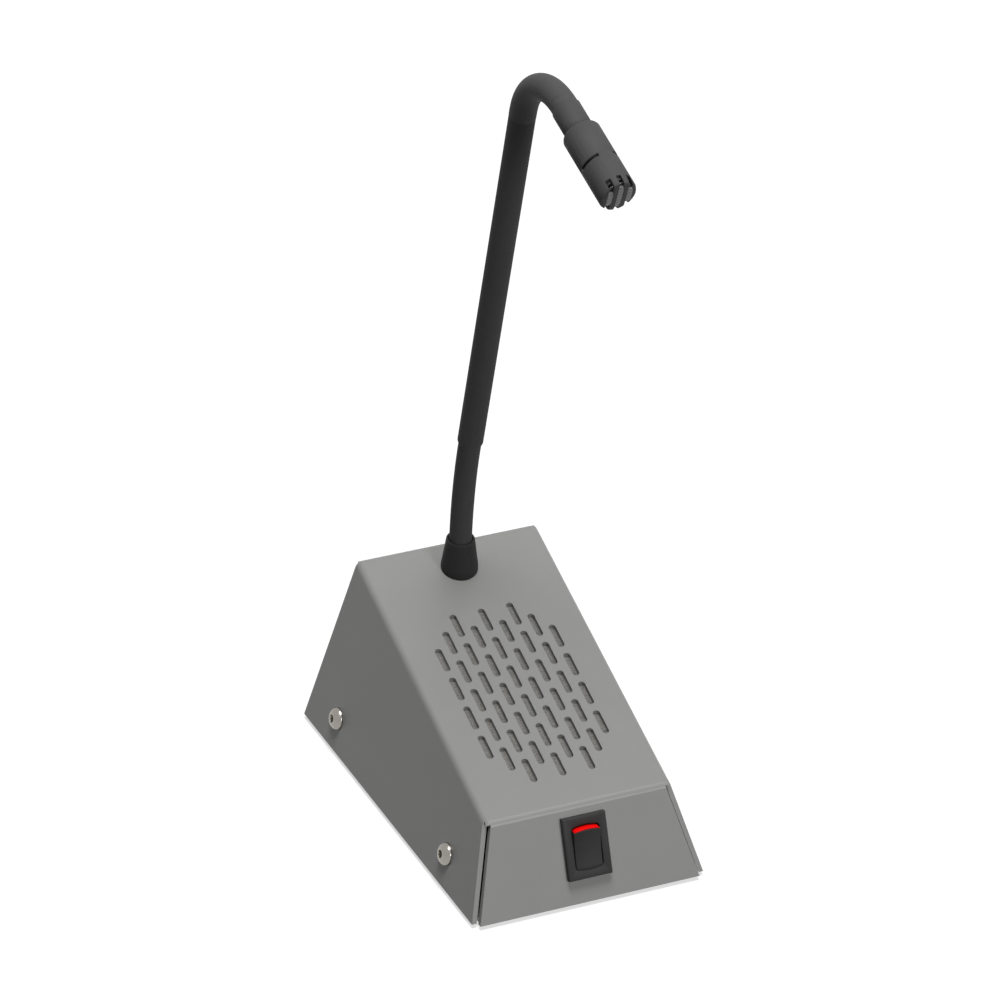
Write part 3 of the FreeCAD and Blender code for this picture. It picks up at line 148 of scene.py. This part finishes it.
def add_world():
    """Faint light from all round, and white for the rays that show the background."""
    world = bpy.data.worlds.new("studio")
    world.use_nodes = True
    tree = world.node_tree
    tree.nodes.clear()
    output = tree.nodes.new("ShaderNodeOutputWorld")
    mix = tree.nodes.new("ShaderNodeMixShader")
    tree.links.new(shows_background(tree), mix.inputs["Fac"])
    for slot, strength in ((1, WORLD_LIGHT), (2, WORLD_WHITE)):
        background = tree.nodes.new("ShaderNodeBackground")
        background.inputs["Color"].default_value = WHITE
        background.inputs["Strength"].default_value = strength
        tree.links.new(background.outputs[0], mix.inputs[slot])
    tree.links.new(mix.outputs[0], output.inputs["Surface"])
    bpy.context.scene.world = world


# The floor hands little light back to the object. Rays that show the floor see its white glow
# and, on top of it, a lit grey that goes missing in the object's shadow.

FLOOR_REACH = 6
FLOOR_ROUGH = 0.9
FLOOR_BOUNCE = 0.05
FLOOR_SHADOW = 0.48
FLOOR_WHITE = 0.62


def add_floor():
    mesh = bpy.data.meshes.new("floor")
    signs = ((-1, -1), (1, -1), (1, 1), (-1, 1))
    corners = [(x * FLOOR_REACH, y * FLOOR_REACH, 0) for x, y in signs]
    mesh.from_pydata(corners, [], [(0, 1, 2, 3)])
    floor = link_object("floor", mesh)
    paint, tree, shader = new_paint("floor_white")
    shader.inputs["Roughness"].default_value = FLOOR_ROUGH
    shader.inputs["Specular IOR Level"].default_value = 0.0
    shader.inputs["Emission Color"].default_value = WHITE
    background = shows_background(tree)
    tone = tree.nodes.new("ShaderNodeMix")
    tone.data_type = "RGBA"
    tone.inputs["A"].default_value = (*grey(FLOOR_BOUNCE), 1)
    tone.inputs["B"].default_value = (*grey(FLOOR_SHADOW), 1)
    tree.links.new(background, tone.inputs["Factor"])
    tree.links.new(tone.outputs["Result"], shader.inputs["Base Color"])
    glow = tree.nodes.new("ShaderNodeMath")
    glow.operation = "MULTIPLY"
    glow.inputs[1].default_value = FLOOR_WHITE
    tree.links.new(background, glow.inputs[0])
    tree.links.new(glow.outputs[0], shader.inputs["Emission Strength"])
    mesh.materials.append(paint)


# Materials

NOISE_ROUGHNESS = 0.55
# Most of a noise texture's values lie between these.
NOISE_LOW = 0.3
NOISE_HIGH = 0.7
MOTTLE_SCALE = 60.0
# A finish's roughness wanders this far to either side.
ROUGH_SPREAD = 0.05
# A wave texture's bands repeat once in this length at a scale of 1.
WAVE_PERIOD = 0.314
WAVE_UNEVEN = 1.5
WEAVE_SPECULAR = 0.2
# Closer limits than the noise's own leave more of a weave's specks fully dark or light.
SPECK_LOW = 0.35
SPECK_HIGH = 0.65


def link_place(tree, texture):
    """Let a texture run in metres of the object's own frame."""
    place = tree.nodes.get("Texture Coordinate") or tree.nodes.new("ShaderNodeTexCoord")
    tree.links.new(place.outputs["Object"], texture.inputs["Vector"])


def add_noise(tree, scale, detail=3.0):
    noise = tree.nodes.new("ShaderNodeTexNoise")
    noise.inputs["Scale"].default_value = scale
    noise.inputs["Detail"].default_value = detail
    noise.inputs["Roughness"].default_value = NOISE_ROUGHNESS
    link_place(tree, noise)
    return noise.outputs["Fac"]


def add_range(tree, value, low, high, out_low, out_high):
    """Value from low..high spread over out_low..out_high."""
    node = tree.nodes.new("ShaderNodeMapRange")
    tree.links.new(value, node.inputs["Value"])
    ends = {"From Min": low, "From Max": high, "To Min": out_low, "To Max": out_high}
    for name, number in ends.items():
        node.inputs[name].default_value = number
    return node.outputs["Result"]


def add_tone(tree, shader, value, low, low_color, high, high_color):
    """Base colour that turns from one colour to another as the value goes from low to high."""
    tone = tree.nodes.new("ShaderNodeValToRGB")
    first, last = tone.color_ramp.elements
    first.position, last.position = low, high
    first.color, last.color = (*low_color, 1), (*high_color, 1)
    tree.links.new(value, tone.inputs["Fac"])
    tree.links.new(tone.outputs["Color"], shader.inputs["Base Color"])


def add_bump(tree, shader, height, depth):
    bump = tree.nodes.new("ShaderNodeBump")
    bump.inputs["Distance"].default_value = depth
    tree.links.new(height, bump.inputs["Height"])
    tree.links.new(bump.outputs["Normal"], shader.inputs["Normal"])


def make_finish(name, color, roughness, metallic=0.0, specular=0.5, mottle=0.05, grain=900.0,
                grain_depth=0.02 * MM):
    """Painted, moulded or plated surface: slow colour drift, fine grain and uneven gloss."""
    paint, tree, shader = new_paint(name)
    shader.inputs["Metallic"].default_value = metallic
    shader.inputs["Specular IOR Level"].default_value = specular
    darker = [part * (1 - mottle) for part in color]
    lighter = [min(1, part * (1 + mottle)) for part in color]
    drift = add_noise(tree, MOTTLE_SCALE)
    add_tone(tree, shader, drift, NOISE_LOW, darker, NOISE_HIGH, lighter)
    fine = add_noise(tree, grain, detail=4.0)
    smooth, rough = roughness - ROUGH_SPREAD, roughness + ROUGH_SPREAD
    gloss = add_range(tree, fine, NOISE_LOW, NOISE_HIGH, smooth, rough)
    tree.links.new(gloss, shader.inputs["Roughness"])
    add_bump(tree, shader, fine, grain_depth)
    return paint


def make_weave(name, dark, light, period, depth, roughness, metallic=0.0, speckle=0.5):
    """Woven cloth or wire gauze: two crossed runs of threads, made uneven by specks."""
    paint, tree, shader = new_paint(name)
    shader.inputs["Metallic"].default_value = metallic
    shader.inputs["Roughness"].default_value = roughness
    shader.inputs["Specular IOR Level"].default_value = WEAVE_SPECULAR
    cross = tree.nodes.new("ShaderNodeMath")
    cross.operation = "MULTIPLY"
    for slot, direction in enumerate(("X", "Y")):
        run = tree.nodes.new("ShaderNodeTexWave")
        run.bands_direction = direction
        run.inputs["Scale"].default_value = WAVE_PERIOD / period
        run.inputs["Distortion"].default_value = WAVE_UNEVEN
        run.inputs["Detail Scale"].default_value = 1.0
        link_place(tree, run)
        tree.links.new(run.outputs["Fac"], cross.inputs[slot])
    uneven = tree.nodes.new("ShaderNodeMix")
    uneven.inputs["Factor"].default_value = speckle
    tree.links.new(cross.outputs[0], uneven.inputs["A"])
    specks = add_range(tree, add_noise(tree, 1 / period), SPECK_LOW, SPECK_HIGH, 0, 1)
    tree.links.new(specks, uneven.inputs["B"])
    threads = uneven.outputs["Result"]
    add_tone(tree, shader, threads, 0.0, dark, 1.0, light)
    add_bump(tree, shader, threads, depth)
    return paint


def dress(material, *names):
    """Give CAD nodes a material."""
    for name in names:
        mesh = nodes[name].data
        mesh.materials.clear()
        mesh.materials.append(material)


# Meshes of rings

def turns(count):
    """Angles that share a full turn evenly."""
    return [2 * math.pi * step / count for step in range(count)]


def join_rings(mesh, low, high):
    """Band of faces between two rings with as many points."""
    for step in range(len(low)):
        after = (step + 1) % len(low)
        mesh.faces.new((low[step], low[after], high[after], high[step]))


def finish_mesh(mesh, name, material):
    """Object made of a finished bmesh, in one material."""
    data = bpy.data.meshes.new(name)
    mesh.to_mesh(data)
    mesh.free()
    data.materials.append(material)
    return link_object(name, data)


# Gooseneck: a smooth tube over the ball links, in one sleeve for each joint

SLEEVE_SIDES = 48
SLEEVE_STEPS = 12
LOWER_RADIUS = 3.68 * MM
UPPER_RADIUS = 4.19 * MM
# From the end joints to the boot's mouth, the stem's two ends and the microphone's collar.
BOOT_DEPTH = 4.8 * MM
TO_STEM = 5.59 * MM
FROM_STEM = 4.09 * MM
TO_COLLAR = 2.65 * MM


def make_sleeve(name, stations, radius, material):
    """Open tube through stations (centre, direction) with rings kept square to the path."""
    mesh = bmesh.new()
    rings = []
    side = Vector((1, 0, 0))
    for centre, ahead in stations:
        side = (side - ahead * side.dot(ahead)).normalized()
        other = ahead.cross(side)
        ring = [centre + (side * math.cos(t) + other * math.sin(t)) * radius
                for t in turns(SLEEVE_SIDES)]
        rings.append([mesh.verts.new(point) for point in ring])
    for low, high in zip(rings, rings[1:]):
        join_rings(mesh, low, high)
    piece = finish_mesh(mesh, name, material)
    piece.data.shade_smooth()
    return piece


def bend_stations(corner, before, after, length_before, length_after):
    """Smooth path round a joint, tangent to the straight parts on both sides."""
    start = corner - before * length_before
    end = corner + after * length_after
    stations = []
    for step in range(SLEEVE_STEPS + 1):
        t = step / SLEEVE_STEPS
        point = start * (1 - t) ** 2 + corner * 2 * t * (1 - t) + end * t ** 2
        ahead = ((corner - start) * (1 - t) + (end - corner) * t).normalized()
        stations.append((point, ahead))
    return stations


def link_directions(joints):
    places = [Vector(joint["pos_m"]) for joint in joints]
    return [(b - a).normalized() for a, b in zip(places, places[1:])]


def next_direction(first, second):
    """Direction that goes on from the second by its turn from the first."""
    return (first.rotation_difference(second) @ second).normalized()


def add_neck_section(label, joints, radius, before, after, first_length, last_length, material):
    """One sleeve per joint, from the middle of one link to the middle of the next.

    The section's two ends lie first_length before its first joint and last_length after its last,
    on straight parts that run in the directions before and after.
    """
    links = link_directions(joints)
    places = [Vector(joint["pos_m"]) for joint in joints]
    half = (places[1] - places[0]).length / 2
    hidden = [f"{label}_link_{number + 1}" for number in range(len(links))]
    for number, (joint, place) in enumerate(zip(joints, places)):
        into = links[number - 1] if number else before
        out = links[number] if number < len(links) else after
        length_in = half if number else first_length
        length_out = half if number < len(links) else last_length
        stations = bend_stations(place, into, out, length_in, length_out)
        piece = make_sleeve(f"{label}_sleeve_{number + 1}", stations, radius, material)
        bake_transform(piece)
        if number < len(hidden):
            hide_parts(hidden[number])


def dress_neck(lower_material, upper_material):
    lower = [joint for joint in frame["joints"] if joint["name"].startswith("lower")]
    upper = [joint for joint in frame["joints"] if joint["name"].startswith("upper")]
    low_links, high_links = link_directions(lower), link_directions(upper)
    from_boot = next_direction(low_links[1], low_links[0])
    stem = link_directions([lower[-1], upper[0]])[0]
    to_head = next_direction(high_links[-2], high_links[-1])
    add_neck_section("lower", lower, LOWER_RADIUS, from_boot, stem, BOOT_DEPTH, TO_STEM,
                     lower_material)
    add_neck_section("upper", upper, UPPER_RADIUS, stem, to_head, FROM_STEM, TO_COLLAR,
                     upper_material)


# Microphone gauze: a disc inside the cap, with a rib pressed forward into each of its three slots

# The head's own right, along the axis that the neck bends about.
HEAD_ACROSS = Vector((0.9955, 0.0948, 0.0))
# From the head's joint to the back of the disc.
GAUZE_BACK = 37.6 * MM
GAUZE_THICK = 0.3 * MM
GAUZE_RADIUS = 4.98 * MM
GAUZE_SIDES = 64
# The ends of the ribs lie on a circle of their reach. Heights are measured from the back of the
# disc. The crown is flat over a share of the width, lies above the edges and droops at the ends.
RIB_PITCH = 3.2 * MM
RIB_HALF = 0.84 * MM
RIB_REACH = 4.15 * MM
RIB_FOOT = 0.1 * MM
RIB_RISE = 1.48 * MM
RIB_EDGE = 0.1 * MM
RIB_DROOP = 0.25 * MM
RIB_FLAT = 0.7
RIB_STEPS = 12


def head_axes():
    """The microphone head's joint, and its own right, up and forward directions."""
    low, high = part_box("wind_gauze")
    joint = [Vector(j["pos_m"]) for j in frame["joints"] if j["child"] == "head"][-1]
    ahead = ((low + high) / 2 - joint).normalized()
    across = (HEAD_ACROSS - ahead * HEAD_ACROSS.dot(ahead)).normalized()
    return joint, across, ahead.cross(across), ahead


def rib_section(share):
    """Corners (side, height) of a rib's cut at a share of its reach, from -1 to 1."""
    crown = RIB_RISE - RIB_DROOP * share ** 4
    edge = crown - RIB_EDGE
    return [(-1, RIB_FOOT), (-1, edge), (-RIB_FLAT, crown),
            (RIB_FLAT, crown), (1, edge), (1, RIB_FOOT)]


def make_gauze(material):
    """The disc and its ribs, as one piece."""
    joint, across, along, ahead = head_axes()
    mesh = bmesh.new()

    def add(x, y, height):
        return mesh.verts.new(joint + across * x + along * y + ahead * (GAUZE_BACK + height))

    back, front = [[add(GAUZE_RADIUS * math.cos(t), GAUZE_RADIUS * math.sin(t), height)
                    for t in turns(GAUZE_SIDES)] for height in (0, GAUZE_THICK)]
    mesh.faces.new(back)
    mesh.faces.new(front)
    join_rings(mesh, back, front)
    for count in (-1, 0, 1):
        middle = count * RIB_PITCH
        reach = math.sqrt(RIB_REACH ** 2 - middle ** 2)
        rings = []
        for step in range(RIB_STEPS + 1):
            share = 2 * step / RIB_STEPS - 1
            rings.append([add(middle + side * RIB_HALF, reach * share, height)
                          for side, height in rib_section(share)])
        for low, high in zip(rings, rings[1:]):
            join_rings(mesh, low, high)
        mesh.faces.new(rings[0])
        mesh.faces.new(rings[-1])
    bmesh.ops.recalc_face_normals(mesh, faces=mesh.faces)
    piece = finish_mesh(mesh, "microphone_gauze", material)
    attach(piece, "head")
    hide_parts("wind_gauze")


# Edges

WELD_REACH = 0.001 * MM
BEVEL_SEGMENTS = 2
BEVEL_ANGLE = math.radians(35)


def soften(width, *names):
    """Small rounding on the CAD nodes' hard edges, with even shading over flat faces."""
    for name in names:
        piece = nodes[name]
        weld = piece.modifiers.new("weld", "WELD")
        weld.merge_threshold = WELD_REACH
        bevel = piece.modifiers.new("edge", "BEVEL")
        bevel.width = width
        bevel.segments = BEVEL_SEGMENTS
        bevel.limit_method = "ANGLE"
        bevel.angle_limit = BEVEL_ANGLE
        bevel.harden_normals = True
        piece.data.shade_smooth()


# The scene

add_camera()
add_world()
for lamp_name, lamp in LAMPS.items():
    add_lamp(lamp_name, *lamp)
add_floor()

housing_grey = make_finish("housing_grey", (0.284, 0.284, 0.279), roughness=0.33, specular=0.3,
                           mottle=0.015, grain=2600, grain_depth=0.003 * MM)
dress(housing_grey, "cover")

tray_steel = make_finish("tray_steel", grey(0.33), roughness=0.45, metallic=0.6,
                         grain=2600, grain_depth=0.004 * MM)
dress(tray_steel, "base_tray")

bright_steel = make_finish("bright_steel", (0.3, 0.28, 0.255), roughness=0.22, metallic=1.0,
                           mottle=0.03, grain=1500, grain_depth=0.003 * MM)
dress(bright_steel, "side_screws")

zinc_steel = make_finish("zinc_steel", (0.6, 0.61, 0.63), roughness=0.35, metallic=1.0)
dress(zinc_steel, "clinch_nuts", "taper_washer", "neck_lock_nut", "pole_plate", "speaker_yoke",
      "weld_studs", "clamp_washers", "stud_nuts", "board_screws", "microphone_capsule")

soft_black = make_finish("soft_black", grey(0.02), roughness=0.75, grain=1800)
dress(soft_black, "speaker_basket", "rubber_feet", "cable_grommet", "speaker_gasket",
      "speaker_surround", "capsule_sleeve")

switch_black = make_finish("switch_black", grey(0.04), roughness=0.55, specular=0.12,
                           grain=2600, grain_depth=0.01 * MM)
dress(switch_black, "switch_housing")

rocker_black = make_finish("rocker_black", grey(0.038), roughness=0.55, specular=0.12,
                           grain=2600, grain_depth=0.01 * MM)
dress(rocker_black, "switch_rocker")

marker_red = make_finish("marker_red", (1.0, 0.003, 0.003), roughness=0.45, specular=0.1,
                         mottle=0.02)
dress(marker_red, "rocker_marker")

boot_black = make_finish("boot_black", grey(0.03), roughness=0.6, specular=0.12,
                         grain=2200, grain_depth=0.01 * MM)
dress(boot_black, "neck_boot")

stem_black = make_finish("stem_black", grey(0.047), roughness=0.9, specular=0.4,
                         grain=2200, grain_depth=0.008 * MM)
dress(stem_black, "stem_tube", "lower_ferrule", "neck_spigot", "upper_ferrule")

head_black = make_finish("head_black", grey(0.085), roughness=0.6, specular=0.08,
                         grain=2600, grain_depth=0.008 * MM)
dress(head_black, "head_collar", "microphone_housing", "microphone_cap")

gauze_grey = make_weave("gauze_grey", grey(0.08), grey(0.19), period=0.4 * MM, depth=0.05 * MM,
                        roughness=0.45, metallic=1.0, speckle=0.3)
make_gauze(gauze_grey)

cloth_grey = make_weave("cloth_grey", (0.15, 0.146, 0.138), (0.27, 0.264, 0.25),
                        period=1.1 * MM, depth=0.12 * MM, roughness=0.9)
dress(cloth_grey, "acoustic_cloth")

brass = make_finish("brass", (0.72, 0.5, 0.2), roughness=0.3, metallic=1.0)
dress(brass, "switch_terminals", "voice_coil", "board_standoffs")

board_green = make_finish("board_green", (0.02, 0.12, 0.04), roughness=0.3)
dress(board_green, "circuit_board", "terminal_blocks")

paper_black = make_finish("paper_black", grey(0.03), roughness=0.85)
dress(paper_black, "speaker_cone", "dust_cap", "speaker_magnet", "amplifier_chip", "capacitors",
      "volume_trimmers")

lower_black = make_finish("lower_black", grey(0.062), roughness=0.8, specular=0.22,
                          grain=2200, grain_depth=0.008 * MM)
upper_black = make_finish("upper_black", grey(0.066), roughness=0.9, specular=0.55,
                          grain=2200, grain_depth=0.008 * MM)
dress_neck(lower_black, upper_black)

soften(0.1 * MM, "switch_housing", "switch_rocker", "rocker_marker")
soften(0.08 * MM, "microphone_cap", "microphone_housing", "head_collar", "neck_boot",
       "side_screws")

bpy.context.scene.view_settings.view_transform = "Standard"
